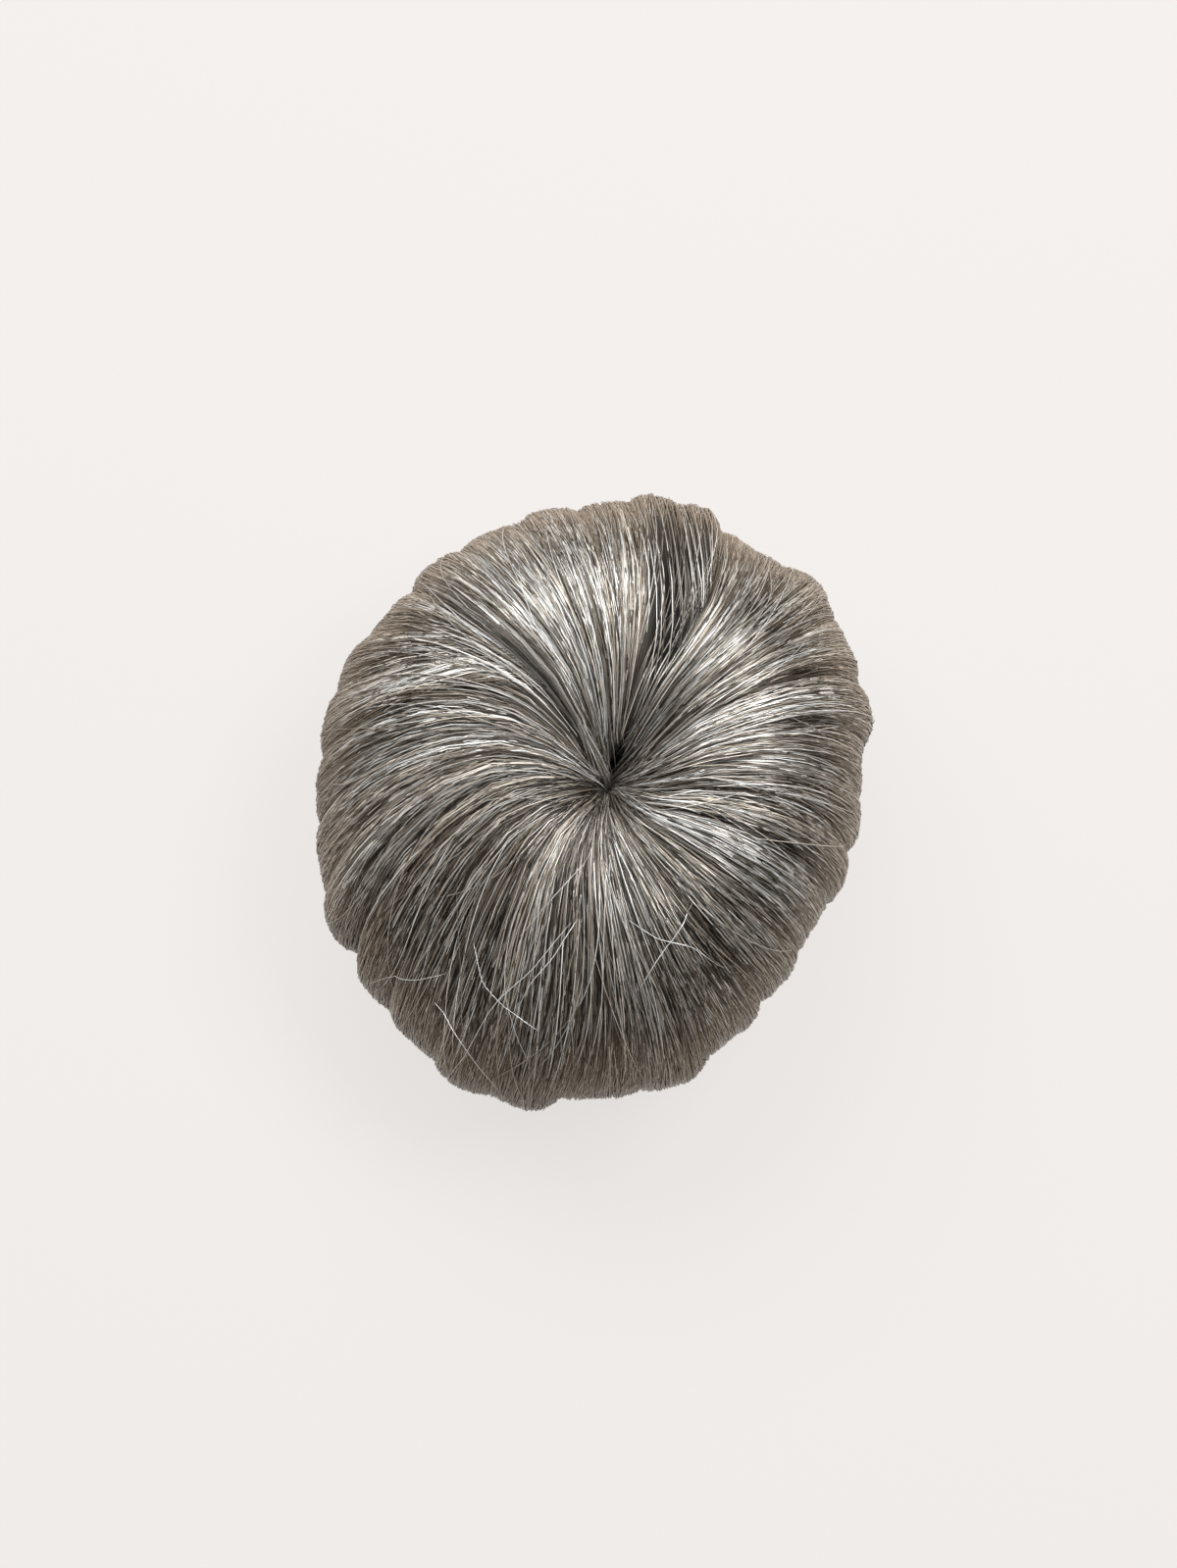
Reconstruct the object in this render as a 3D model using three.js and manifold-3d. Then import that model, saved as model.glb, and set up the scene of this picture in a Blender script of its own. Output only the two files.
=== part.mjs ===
// A top knot hairpiece: a domed bun of hair, combed in nine locks from the eye on top, over the crown and
// round to the underside. The locks are sewn round an open stretch cap, with one comb inside the cap's hem.
//
// Millimetres, +Z up. The bun stands on its hem, with the origin on the floor under the middle of its
// outline. Here everything is placed round the axis of the eye, and the whole is moved at the end.
// Azimuths are in degrees round the eye, from +X (the wearer's left) towards +Y (the back of the bun).
import * as THREE from "three";
import { mergeVertices } from "three/addons/utils/BufferGeometryUtils.js";
import Module from "manifold-3d";

const wasm = await Module();
wasm.setup();

// Stretch cap
const capRadius = 37.5; // outside of its straight wall
const capHeight = 41; // floor to its top
const capWall = 1.2;
const hemWall = 2.4; // the turned and elasticated edge, thicker to the inside
const hemHeight = 8;
const wallOverHem = 2.8; // straight wall between the hem's slope and the dome
const capStraight = hemHeight + hemWall - capWall + wallOverHem; // floor to the foot of the dome

// Hair
const hairAround = 16; // cap to the outline, where a fold's fullness is 1
const hairOnTop = 17; // top of the cap to the crown
const hairInEye = 2.8; // and to the bottom of the eye
const seatGap = 0.4; // between the cap and the hair on it
const hairLift = 0.4; // floor to the lowest hair
const rootLift = 3.6; // floor to the lowest hair root on the cap
const rootHeight = 2.6; // of the roots' end face
const eyeRadius = 3; // open swirl where the locks dive in
const foldDepth = 1.5; // valley between two folds of one lock
const partingDepth = 2.8; // valley between two locks
const lockGap = 0.4; // clear width between two locks
const bunHeight = capHeight + hairOnTop;
const hairSeatRadius = capRadius + seatGap;
const eyeFloor = capHeight + seatGap + hairInEye;

// Comb
const combAzimuth = 270; // the front of the bun
const combSpan = 30; // along the hem
const combThickness = 1.6;
const combSpine = 4; // height of the bar that the teeth stand on
const combLift = 1; // floor to the bar
const combGap = 0.3; // between the bar and the hem
const toothCount = 9;
const toothLength = 15;
const toothRoot = 0.7; // radius at the bar
const toothTip = 0.45; // radius at the tip
const toothLean = 8; // degrees towards the middle, to clear the dome
const toothInset = 0.35; // bar's end to the side of the first tooth

// How finely the solids are cut
const stations = 18; // along a lock
const stepsPerFold = 4; // across a fold
const capSides = 40;
const domeSteps = 7;
const barSides = 10;
const toothSides = 8;

// Shares of the way out from the eye's axis where a lock has its eye azimuth and its mid azimuth.
const eyeShare = 0.06;
const midShare = 0.45;

// Shares of the way along a lock, from the eye to the roots. The valleys are full from one place to the next
// and fade to its ends, a crest rises and sinks again on top, and its inside leaves the dome for the wall.
const VALLEYS = { full: 0.35, fades: 0.8 };
const CREST = { starts: 0.1, full: 0.3, fades: 0.35, ends: 0.6 };
const domeEnds = 0.8;

const hairColour = new THREE.Color(0x8f897f);
const capColour = new THREE.Color(0x4a4643);
const combColour = new THREE.Color(0x2b2927);

// One row for each lock, going round: the azimuths where it starts at the outline, half way in and at the
// eye, the fullness of each fold as a share of hairAround, and its crest as a share of partingDepth.
const LOCKS = [
  { name: "lock_right", rim: -15, mid: -9, eye: -17, fullness: [0.63, 0.63, 0.87], crest: 0.1 },
  { name: "lock_rear_right", rim: 22, mid: 29, eye: 29, fullness: [0.93, 1.1, 0.93], crest: 0.5 },
  { name: "lock_rear", rim: 66, mid: 63, eye: 58, fullness: [1.12, 1.13, 0.98], crest: -0.35 },
  { name: "lock_rear_left", rim: 96, mid: 87, eye: 78, fullness: [0.98, 0.92, 0.95], crest: 0.35 },
  { name: "lock_left_rear", rim: 135, mid: 130, eye: 114, fullness: [0.9, 1.0, 1.0], crest: -0.4 },
  { name: "lock_left", rim: 174, mid: 152, eye: 137, fullness: [1.0, 1.07, 1.23], crest: 0.1 },
  { name: "lock_front_left", rim: 214, mid: 190, eye: 167, fullness: [1.25, 1.33, 1.5, 1.47], crest: 0.3 },
  { name: "lock_front", rim: 262, mid: 261, eye: 248, fullness: [1.23, 1.18, 0.88], crest: 0 },
  { name: "lock_front_right", rim: 306, mid: 298, eye: 290, fullness: [0.7, 0.55, 0.63], crest: 0.2 },
];

// The outside of the hair, in three stretches. Up from the eye and down over the shoulder, out is the share
// of the way from the eye's edge to the reach, and tucked under it is that of the way from the cap. Climb is
// the share of the way from the eye's floor to the crown, and rise from the lowest hair to the crown.
const OUT_OF_THE_EYE = [
  { out: 0.0, climb: 0.0 },
  { out: 0.018, climb: 0.46 },
  { out: 0.06, climb: 0.7 },
  { out: 0.13, climb: 0.83 },
  { out: 0.24, climb: 0.95 },
  { out: 0.38, climb: 1.0 },
];
const OVER_THE_SHOULDER = [
  { out: 0.53, rise: 0.991 },
  { out: 0.68, rise: 0.949 },
  { out: 0.81, rise: 0.868 },
  { out: 0.91, rise: 0.752 },
  { out: 0.975, rise: 0.605 },
  { out: 1.0, rise: 0.44 },
];
const TUCKED_UNDER = [
  { out: 0.975, rise: 0.275 },
  { out: 0.87, rise: 0.135 },
  { out: 0.68, rise: 0.04 },
  { out: 0.44, rise: 0.0 },
  { out: 0.2, rise: 0.012 },
];

const radians = THREE.MathUtils.degToRad;
const lerp = THREE.MathUtils.lerp;
const smoothstep = THREE.MathUtils.smoothstep;

// A manifold-3d solid from a closed three.js geometry.
function solid(geometry) {
  const bare = geometry.index ? geometry.toNonIndexed() : geometry;
  bare.deleteAttribute("normal");
  bare.deleteAttribute("uv");
  const merged = mergeVertices(bare, 1e-4);
  return new wasm.Manifold(
    new wasm.Mesh({
      numProp: 3,
      vertProperties: merged.attributes.position.array,
      triVerts: new Uint32Array(merged.index.array),
    }),
  );
}

// A three.js geometry from a manifold-3d solid.
function geometryOf(made) {
  const mesh = made.getMesh();
  const geometry = new THREE.BufferGeometry();
  geometry.setAttribute("position", new THREE.BufferAttribute(mesh.vertProperties, 3));
  geometry.setIndex(new THREE.BufferAttribute(mesh.triVerts, 1));
  geometry.computeVertexNormals();
  return geometry;
}

function piece(name, geometry, colour, roughness) {
  const finish = { color: colour, roughness, metalness: 0, flatShading: true };
  const mesh = new THREE.Mesh(geometry, new THREE.MeshStandardMaterial(finish));
  mesh.name = name;
  return mesh;
}

// A point at a radius, azimuth in degrees and height round the axis of the eye.
function polar(radius, azimuth, height) {
  return new THREE.Vector3(
    radius * Math.cos(radians(azimuth)),
    radius * Math.sin(radians(azimuth)),
    height,
  );
}

// The cap's outside profile from its top down, grown outwards by a clearance, as radius and height. Along is
// 0 at the eye's edge, 1 where the dome meets the straight wall.
function capDome(along, clearance) {
  const across = capRadius + clearance;
  const up = capHeight - capStraight + clearance;
  const start = Math.asin(eyeRadius / across);
  const angle = lerp(start, Math.PI / 2, along);
  return new THREE.Vector2(across * Math.sin(angle), capStraight + up * Math.cos(angle));
}

// The outside profile of the hair for one reach, from the bottom of the eye to the roots on the cap.
function hairProfile(reach) {
  const point = (from, p, height) => new THREE.Vector2(lerp(from, reach, p.out), height);
  return new THREE.SplineCurve([
    ...OUT_OF_THE_EYE.map((p) => point(eyeRadius, p, lerp(eyeFloor, bunHeight, p.climb))),
    ...OVER_THE_SHOULDER.map((p) => point(eyeRadius, p, lerp(hairLift, bunHeight, p.rise))),
    ...TUCKED_UNDER.map((p) => point(hairSeatRadius, p, lerp(hairLift, bunHeight, p.rise))),
    new THREE.Vector2(hairSeatRadius, rootLift),
  ]);
}
const stretchesOnTop = OUT_OF_THE_EYE.length + OVER_THE_SHOULDER.length;
const widestStation = (stretchesOnTop - 1) / (stretchesOnTop + TUCKED_UNDER.length);

// The inside of the hair, which lies on the cap from the eye down to the roots.
function hairSeat(along) {
  if (along <= domeEnds) return capDome(along / domeEnds, seatGap);
  const down = (along - domeEnds) / (1 - domeEnds);
  return new THREE.Vector2(hairSeatRadius, lerp(capStraight, rootLift + rootHeight, down));
}

// Reach of the outline across lock i, with across from 0 to 1: flat on each fold and smooth between two.
function reachAcross(i, across) {
  const all = LOCKS.flatMap((lock) => lock.fullness);
  const before = LOCKS.slice(0, i).reduce((sum, lock) => sum + lock.fullness.length, 0);
  const at = before + across * LOCKS[i].fullness.length - 0.5;
  const low = Math.floor(at);
  const pick = (k) => all[(k + all.length) % all.length];
  return capRadius + hairAround * lerp(pick(low), pick(low + 1), smoothstep(at - low, 0, 1));
}

// Depth of the valleys at a place across lock i: deepest at its partings, none on the back of each fold.
function valleyAcross(i, across) {
  const folds = LOCKS[i].fullness.length;
  const at = across * folds;
  const inFold = at - Math.min(Math.floor(at), folds - 1);
  const nearest = Math.round(at);
  const depth = nearest === 0 || nearest === folds ? partingDepth : foldDepth;
  return depth * Math.abs(2 * inFold - 1) ** 3;
}

// Azimuth of the line that runs down lock i at a place across it, for a share of the way out to the reach.
function azimuthAcross(i, across, share) {
  const lock = LOCKS[i];
  const next = LOCKS[(i + 1) % LOCKS.length];
  const turn = i + 1 === LOCKS.length ? 360 : 0;
  const between = (key) => lerp(lock[key], next[key] + turn, across);
  const [eye, mid, rim] = [between("eye"), between("mid"), between("rim")];
  const s = Math.max(share, eyeShare);
  return (
    (eye * (s - midShare) * (s - 1)) / ((eyeShare - midShare) * (eyeShare - 1)) +
    (mid * (s - eyeShare) * (s - 1)) / ((midShare - eyeShare) * (midShare - 1)) +
    (rim * (s - eyeShare) * (s - midShare)) / ((1 - eyeShare) * (1 - midShare))
  );
}

// The two lines of one station of lock i, outside and inside, each a row of points across the lock.
function lockStation(i, along) {
  const steps = LOCKS[i].fullness.length * stepsPerFold;
  const outside = [];
  const inside = [];
  const seat = hairSeat(along);
  const valleys = smoothstep(along, 0, VALLEYS.full) * (1 - smoothstep(along, VALLEYS.fades, 1));
  const raised = smoothstep(along, CREST.starts, CREST.full);
  const sunk = smoothstep(along, CREST.fades, CREST.ends);
  const crest = LOCKS[i].crest * partingDepth * raised * (1 - sunk);
  for (let k = 0; k <= steps; k++) {
    const across = k / steps;
    const reach = reachAcross(i, across);
    const profile = hairProfile(reach);
    const at = profile.getPoint(along);
    const way = profile.getTangent(along);
    const depth = valleyAcross(i, across) * valleys;
    const radius = at.x + way.y * depth;
    const height = at.y - way.x * depth + crest * (1 - (2 * across - 1) ** 4);
    const share = along < widestStation ? at.x / reach : 1;
    const azimuth = azimuthAcross(i, across, share);
    const parted = (1 - 2 * across) * THREE.MathUtils.radToDeg(lockGap / 2 / Math.min(radius, seat.x));
    outside.push(polar(radius, azimuth + parted, height));
    inside.push(polar(seat.x, azimuth + parted, seat.y));
  }
  return { outside, inside };
}

// One lock: its stations joined into a closed skin, with a strip across each end.
function lockGeometry(i) {
  const rows = [];
  for (let j = 0; j < stations; j++) rows.push(lockStation(i, j / (stations - 1)));
  const across = rows[0].outside.length;
  const ring = 2 * across;
  const points = rows.flatMap((row) => [...row.outside, ...row.inside.toReversed()]);
  const faces = [];
  const quad = (a, b, c, d) => faces.push(a, b, c, a, c, d);
  for (let j = 0; j + 1 < stations; j++) {
    const [here, there] = [j * ring, (j + 1) * ring];
    for (let k = 0; k + 1 < ring; k++) quad(here + k, there + k, there + k + 1, here + k + 1);
    // The first side is split along the same diagonal as the last, so that two locks' sides stay parallel.
    quad(there + ring - 1, there, here, here + ring - 1);
  }
  const last = (stations - 1) * ring;
  for (let k = 0; k + 1 < across; k++) {
    const [outer, inner] = [k, ring - 1 - k];
    quad(outer, outer + 1, inner - 1, inner);
    quad(last + outer, last + inner, last + inner - 1, last + outer + 1);
  }
  const geometry = new THREE.BufferGeometry().setFromPoints(points);
  geometry.setIndex(faces);
  geometry.computeVertexNormals();
  return geometry;
}

// The stretch cap: a thin dome over a straight wall, with a thicker hem round its mouth.
function capGeometry() {
  const outside = [new THREE.Vector2(0, capHeight)];
  const inside = [new THREE.Vector2(0, capHeight - capWall)];
  for (let j = 0; j <= domeSteps; j++) {
    outside.push(capDome(j / domeSteps, 0));
    inside.push(capDome(j / domeSteps, -capWall));
  }
  outside.push(new THREE.Vector2(capRadius, 0));
  inside.push(new THREE.Vector2(capRadius - capWall, hemHeight + hemWall - capWall));
  inside.push(new THREE.Vector2(capRadius - hemWall, hemHeight));
  inside.push(new THREE.Vector2(capRadius - hemWall, 0));
  const profile = [...inside, ...outside.toReversed()];
  const lathe = new THREE.LatheGeometry(profile, capSides);
  lathe.rotateX(Math.PI / 2);
  return geometryOf(solid(lathe));
}

// The comb: a bar bent to the hem, with round teeth that stand up along the inside of the cap.
function combGeometry() {
  const outer = capRadius - hemWall - combGap;
  const inner = outer - combThickness;
  const half = combSpan / 2 / outer;
  const bar = new THREE.Shape();
  bar.absarc(0, 0, outer, -half, half, false);
  bar.absarc(0, 0, inner, half, -half, true);
  const cut = { depth: combSpine, bevelEnabled: false, curveSegments: barSides };
  const spine = new THREE.ExtrudeGeometry(bar, cut);
  let made = solid(spine.translate(0, 0, combLift));
  const margin = toothRoot + toothInset;
  const sink = combSpine / 2;
  for (let k = 0; k < toothCount; k++) {
    const tooth = new THREE.CylinderGeometry(toothTip, toothRoot, toothLength + sink, toothSides);
    tooth.rotateX(Math.PI / 2);
    tooth.translate(0, 0, (toothLength + sink) / 2);
    tooth.rotateY(-radians(toothLean));
    tooth.translate(outer - combThickness / 2, 0, combLift + combSpine - sink);
    tooth.rotateZ(lerp(-half + margin / outer, half - margin / outer, k / (toothCount - 1)));
    made = made.add(solid(tooth));
  }
  const geometry = geometryOf(made);
  geometry.rotateZ(radians(combAzimuth));
  return geometry;
}

const topKnot = new THREE.Group();
LOCKS.forEach((lock, i) => topKnot.add(piece(lock.name, lockGeometry(i), hairColour, 0.45)));
topKnot.add(piece("stretch_cap", capGeometry(), capColour, 0.9));
topKnot.add(piece("comb", combGeometry(), combColour, 0.35));

const middle = new THREE.Box3().setFromObject(topKnot).getCenter(new THREE.Vector3());
topKnot.position.set(-middle.x, -middle.y, 0);

export default topKnot;
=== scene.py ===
# %% [markdown]
# # A top knot hairpiece, hair by hair
#
# The real object is a clip-on bun. Straight hair is sewn in rows to a small elastic cap, combed up over the
# cap and drawn into a swirl on top, so that every hair runs from the eye of the swirl, over the crown, round
# the shoulder and back under to the cap. This scene keeps the solids of the model as its frame and lays the
# hair over them: a smooth core for each lock, and on it a thousand or so single hairs.

import math

import bpy
import numpy as np
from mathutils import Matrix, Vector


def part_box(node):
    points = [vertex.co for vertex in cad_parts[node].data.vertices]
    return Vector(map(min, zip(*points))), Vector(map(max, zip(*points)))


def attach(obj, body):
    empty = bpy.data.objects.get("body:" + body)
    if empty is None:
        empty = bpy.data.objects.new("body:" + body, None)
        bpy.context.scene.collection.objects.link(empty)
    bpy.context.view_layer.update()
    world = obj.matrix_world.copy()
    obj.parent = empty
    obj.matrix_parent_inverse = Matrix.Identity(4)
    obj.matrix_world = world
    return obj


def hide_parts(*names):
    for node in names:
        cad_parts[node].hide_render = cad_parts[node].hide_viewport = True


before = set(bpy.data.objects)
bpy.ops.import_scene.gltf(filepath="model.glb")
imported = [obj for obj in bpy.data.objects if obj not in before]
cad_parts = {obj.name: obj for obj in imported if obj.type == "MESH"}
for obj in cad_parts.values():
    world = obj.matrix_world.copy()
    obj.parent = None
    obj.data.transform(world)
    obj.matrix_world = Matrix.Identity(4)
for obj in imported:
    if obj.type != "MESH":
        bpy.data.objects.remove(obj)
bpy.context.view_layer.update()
MM = 0.001
cap_low, cap_high = (np.array(corner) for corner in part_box("stretch_cap"))
AXIS = (cap_low + cap_high) / 2 * (1, 1, 0)
print("the eye stands over", np.round(AXIS / MM, 2), "mm")

# %% [markdown]
# ## The form that the hair follows
#
# A bun looks combed because all its hairs obey one flow. So the flow comes first, as a function: a lane,
# which is a place round the bun counted in locks, and a way along it from the eye to the roots give one point
# of the surface. The sizes are those of the solids, so the hair lies on them without any fitting.

# %% Sizes of the bun, in millimetres
CAP_RADIUS = 37.5
CAP_HEIGHT = 41.0
CAP_FOOT = 12.0  # floor to where the dome starts
HAIR_AROUND = 16.0
HAIR_ON_TOP = 17.0
HAIR_IN_EYE = 2.8
SEAT_GAP = 0.4
HAIR_LIFT = 0.4
ROOT_LIFT = 3.6
ROOT_HEIGHT = 2.6
EYE_RADIUS = 3.0
FOLD_DEPTH = 1.5
PARTING_DEPTH = 2.8
BUN_HEIGHT = CAP_HEIGHT + HAIR_ON_TOP
SEAT_RADIUS = CAP_RADIUS + SEAT_GAP
EYE_FLOOR = CAP_HEIGHT + SEAT_GAP + HAIR_IN_EYE
MEAN_REACH = CAP_RADIUS + HAIR_AROUND
EYE_SHARE, MID_SHARE = 0.06, 0.45  # shares of the way out at which the locks' eye and mid azimuths hold
DOME_ENDS = 0.8  # share of a lock's inside that lies on the dome

# Azimuths of each lock's first border in degrees, how far its folds reach, and how its crest stands up.
LOCK_COLUMNS = ("name", "rim", "mid", "eye", "fullness", "crest")
LOCK_ROWS = [
    ("lock_right", -15, -9, -17, (0.63, 0.63, 0.87), 0.1),
    ("lock_rear_right", 22, 29, 29, (0.93, 1.1, 0.93), 0.5),
    ("lock_rear", 66, 58, 66, (1.12, 1.13, 0.98), -0.35),
    ("lock_rear_left", 96, 87, 78, (0.98, 0.92, 0.95), 0.35),
    ("lock_left_rear", 135, 125, 114, (0.9, 1.0, 1.0), -0.4),
    ("lock_left", 174, 152, 137, (1.0, 1.07, 1.23), 0.1),
    ("lock_front_left", 214, 190, 167, (1.25, 1.33, 1.5, 1.47), 0.3),
    ("lock_front", 262, 261, 248, (1.23, 1.18, 0.88), 0.0),
    ("lock_front_right", 306, 298, 290, (0.7, 0.55, 0.63), 0.2),
]
LOCKS = [dict(zip(LOCK_COLUMNS, row)) for row in LOCK_ROWS]
# The profile as shares: how far out each point lies, and how high.
OUT_OF_THE_EYE = [(0.0, 0.0), (0.018, 0.46), (0.06, 0.7), (0.13, 0.83), (0.24, 0.95), (0.38, 1.0)]
OVER_THE_SHOULDER = [(0.53, 0.991), (0.68, 0.949), (0.81, 0.868), (0.91, 0.752), (0.975, 0.605), (1.0, 0.44)]
TUCKED_UNDER = [(0.975, 0.275), (0.87, 0.135), (0.68, 0.04), (0.44, 0.0), (0.2, 0.012)]
COUNT = len(LOCKS)
print(COUNT, "locks,", sum(len(lock["fullness"]) for lock in LOCKS), "folds")

# %% How the loose hair departs from the solids
VALLEYS_LEFT = 0.5  # share of a valley's depth that loose hair leaves open on top
VALLEYS_AT_RIM = 0.6  # and round the shoulder
OPEN_PARTINGS = {2: 0.6, 4: 0.6}  # and more of it on top, at the partings that gape
RIM_NOTCHES = {6: 0.6}  # and more of it round the shoulder, at the parting that notches the outline
PARTING_SIDES = (0.1, 0.4)  # lanes beside a parting, over which this falls to nothing
# Where the lower lock lies deeper beside a parting: by how many mm, how many lanes wide, and where along.
GAPS = {2: dict(deep=5.0, wide=0.62, near=0.24, far=0.52), 4: dict(deep=2.8, wide=0.34, near=0.16, far=0.5)}
GAP_BRINK, GAP_FLOOR = (-0.02, 0.06), 0.3  # lanes over which it falls off, and share that is quite deep
GAP_COMES, GAP_GOES = 0.1, 0.08  # ways along over which it opens and closes
SLIT_AZIMUTH, SLIT_WIDTH, SLIT_LENGTH = 70, 17, 6.4  # the eye is drawn out into a slit, in degrees and mm
EYE_CLOSING, EYE_ROUND = 1.8, 9.0  # elsewhere the eye is narrower by this, from this radius in
EYE_SHIFT, EYE_SHIFT_FADES = (0.2, -2.2), (2, 22)  # its middle moves, and over which radii that fades
# Behind on the right the way into the eye is steeper, and in front the crown falls off sooner: at which
# lane, how many lanes wide, and how deep in mm.
FUNNEL_LANE, FUNNEL_WIDTH, FUNNEL_DEPTH = 2.0, 1.7, 5.6
FALL_LANE, FALL_WIDTH, FALL_DEPTH = 6.8, 1.2, 2.9
# Where along a hair each form comes in and goes out again, from 0 at the eye to 1 at the roots.
VALLEY_RUN = ((0, 0.35), (0.8, 1))
CREST_RUN = ((0.1, 0.3), (0.35, 0.6))
FUNNEL_RUN = ((0, 0.08), (0.08, 0.3))
FALL_RUN = ((0.14, 0.4), (0.42, 0.62))
RIM_COMES, TOP_GOES = (0.4, 0.54), (0.42, 0.56)
print("gaps beside", list(GAPS))


# %% Lanes: what changes round the bun
def turned(key):
    """A column of the table for lanes from -1 to one past a full turn, in degrees."""
    column = [lock[key] for lock in LOCKS]
    return np.array([column[-1] - 360] + column + [column[0] + 360, column[1] + 360], float)


LANE_STOPS = np.arange(-1, COUNT + 2)
FLOW = {key: turned(key) for key in ("eye", "mid", "rim")}
FULLNESS = np.concatenate([lock["fullness"] for lock in LOCKS])
FOLD_STOPS = np.concatenate([[0], np.cumsum([len(lock["fullness"]) for lock in LOCKS])])
CRESTS = np.array([lock["crest"] for lock in LOCKS])


def smoothstep(x, low, high):
    t = np.clip((x - low) / (high - low), 0, 1)
    return t * t * (3 - 2 * t)


def within(x, comes, goes):
    """1 between two stretches: it comes in over the first and goes out over the second."""
    return smoothstep(x, *comes) * (1 - smoothstep(x, *goes))


def azimuth_of(lane, share):
    """Azimuth in degrees of a lane, at a share of the way out from the eye's axis."""
    eye, mid, rim = (np.interp(lane, LANE_STOPS, FLOW[key]) for key in ("eye", "mid", "rim"))
    s = np.maximum(share, EYE_SHARE)
    return (
        eye * (s - MID_SHARE) * (s - 1) / ((EYE_SHARE - MID_SHARE) * (EYE_SHARE - 1))
        + mid * (s - EYE_SHARE) * (s - 1) / ((MID_SHARE - EYE_SHARE) * (MID_SHARE - 1))
        + rim * (s - EYE_SHARE) * (s - MID_SHARE) / ((1 - EYE_SHARE) * (1 - MID_SHARE))
    )


def fold_of(lane):
    return np.interp(np.mod(lane, COUNT), np.arange(COUNT + 1), FOLD_STOPS)


def reach_of(lane):
    """How far out in mm the bun reaches at a lane. Each fold's fullness holds at its middle."""
    at = fold_of(lane) - 0.5
    low = np.floor(at).astype(int)
    a, b = FULLNESS[low % len(FULLNESS)], FULLNESS[(low + 1) % len(FULLNESS)]
    return CAP_RADIUS + HAIR_AROUND * (a + (b - a) * smoothstep(at - low, 0, 1))


def valley_of(lane):
    """Depth in mm of the sharp valleys between the rounded backs of folds and locks."""
    at = fold_of(lane)
    in_fold = at - np.floor(at)
    parting = np.isin(np.round(at), FOLD_STOPS)
    return np.where(parting, PARTING_DEPTH, FOLD_DEPTH) * np.abs(2 * in_fold - 1) ** 3


def crest_of(lane):
    """How far in mm a lock's back stands up over its neighbours on the crown."""
    lock = np.floor(np.mod(lane, COUNT)).astype(int)
    across = np.mod(lane, 1)
    return CRESTS[lock] * PARTING_DEPTH * (1 - (2 * across - 1) ** 4)


def near_lane(lane, middle, width):
    """1 on a lane, falling to nothing some width away on both sides."""
    return np.exp(-(((np.mod(lane - middle + COUNT / 2, COUNT) - COUNT / 2) / width) ** 2))


reaches = reach_of(np.linspace(0, COUNT, 400))
print("reach from", round(float(reaches.min()), 1), "to", round(float(reaches.max()), 1), "mm")


# %% Valleys, gaps and slopes of the loose hair
def beside_partings(lane, table):
    """What the table gives for its partings, falling to nothing on both sides of each."""
    return sum(more * (1 - smoothstep(np.abs(lane - at), *PARTING_SIDES)) for at, more in table.items())


def left_open(lane, along):
    """Share of a valley's depth that the loose hair leaves open."""
    rim = VALLEYS_AT_RIM - VALLEYS_LEFT + beside_partings(lane, RIM_NOTCHES)
    gape = beside_partings(lane, OPEN_PARTINGS)
    return VALLEYS_LEFT + rim * smoothstep(along, *RIM_COMES) + gape * (1 - smoothstep(along, *TOP_GOES))


def gap_of(lane, along):
    """Depth in mm of the gaps beside the partings."""
    total = 0.0
    for border, gap in GAPS.items():
        across = within(lane - border, GAP_BRINK, (GAP_FLOOR * gap["wide"], gap["wide"]))
        run = within(along, (gap["near"], gap["near"] + GAP_COMES), (gap["far"] - GAP_GOES, gap["far"]))
        total = total + gap["deep"] * across * run
    return total


def lowered(lane, along):
    """How much lower the crown lies in mm, on the steep side of the eye and where it falls off in front."""
    funnel = FUNNEL_DEPTH * within(along, *FUNNEL_RUN) * near_lane(lane, FUNNEL_LANE, FUNNEL_WIDTH)
    return funnel + FALL_DEPTH * within(along, *FALL_RUN) * near_lane(lane, FALL_LANE, FALL_WIDTH)


print("deepest gap", round(float(gap_of(np.array([2.1, 4.1]), 0.4).max()), 1), "mm")


# %% Profiles: what changes along a hair
def profile_rows():
    """The outside profile: rows of a radius, a part of it that grows with the reach, and a height."""
    rows = []
    inner = (EYE_RADIUS, EYE_RADIUS, SEAT_RADIUS)
    feet = (EYE_FLOOR, HAIR_LIFT, HAIR_LIFT)
    for table, radius, foot in zip((OUT_OF_THE_EYE, OVER_THE_SHOULDER, TUCKED_UNDER), inner, feet):
        rows += [(radius * (1 - out), out, foot + (BUN_HEIGHT - foot) * rise) for out, rise in table]
    return np.array(rows + [(SEAT_RADIUS, 0.0, ROOT_LIFT)])


PROFILE = profile_rows()
WIDEST = (len(OUT_OF_THE_EYE) + len(OVER_THE_SHOULDER) - 1) / (len(PROFILE) - 1)


def spline(rows, along):
    """A uniform Catmull-Rom curve through rows, at places from 0 to 1 along it."""
    at = np.clip(along, 0, 1) * (len(rows) - 1)
    low = np.minimum(at.astype(int), len(rows) - 2)
    t = (at - low)[..., None]
    p0, p1 = rows[np.maximum(low - 1, 0)], rows[low]
    p2, p3 = rows[low + 1], rows[np.minimum(low + 2, len(rows) - 1)]
    v0, v1 = (p2 - p0) / 2, (p3 - p1) / 2
    return (2 * p1 - 2 * p2 + v0 + v1) * t**3 + (-3 * p1 + 3 * p2 - 2 * v0 - v1) * t**2 + v0 * t + p1


def outside_at(along, reach):
    row = spline(PROFILE, along)
    return row[..., 0] + row[..., 1] * reach, row[..., 2]


def way_out(along, radius, reach):
    """Share of the way out from the eye's axis, which is all of it from the widest place on."""
    return np.where(along < WIDEST, radius / reach, 1.0)


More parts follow.
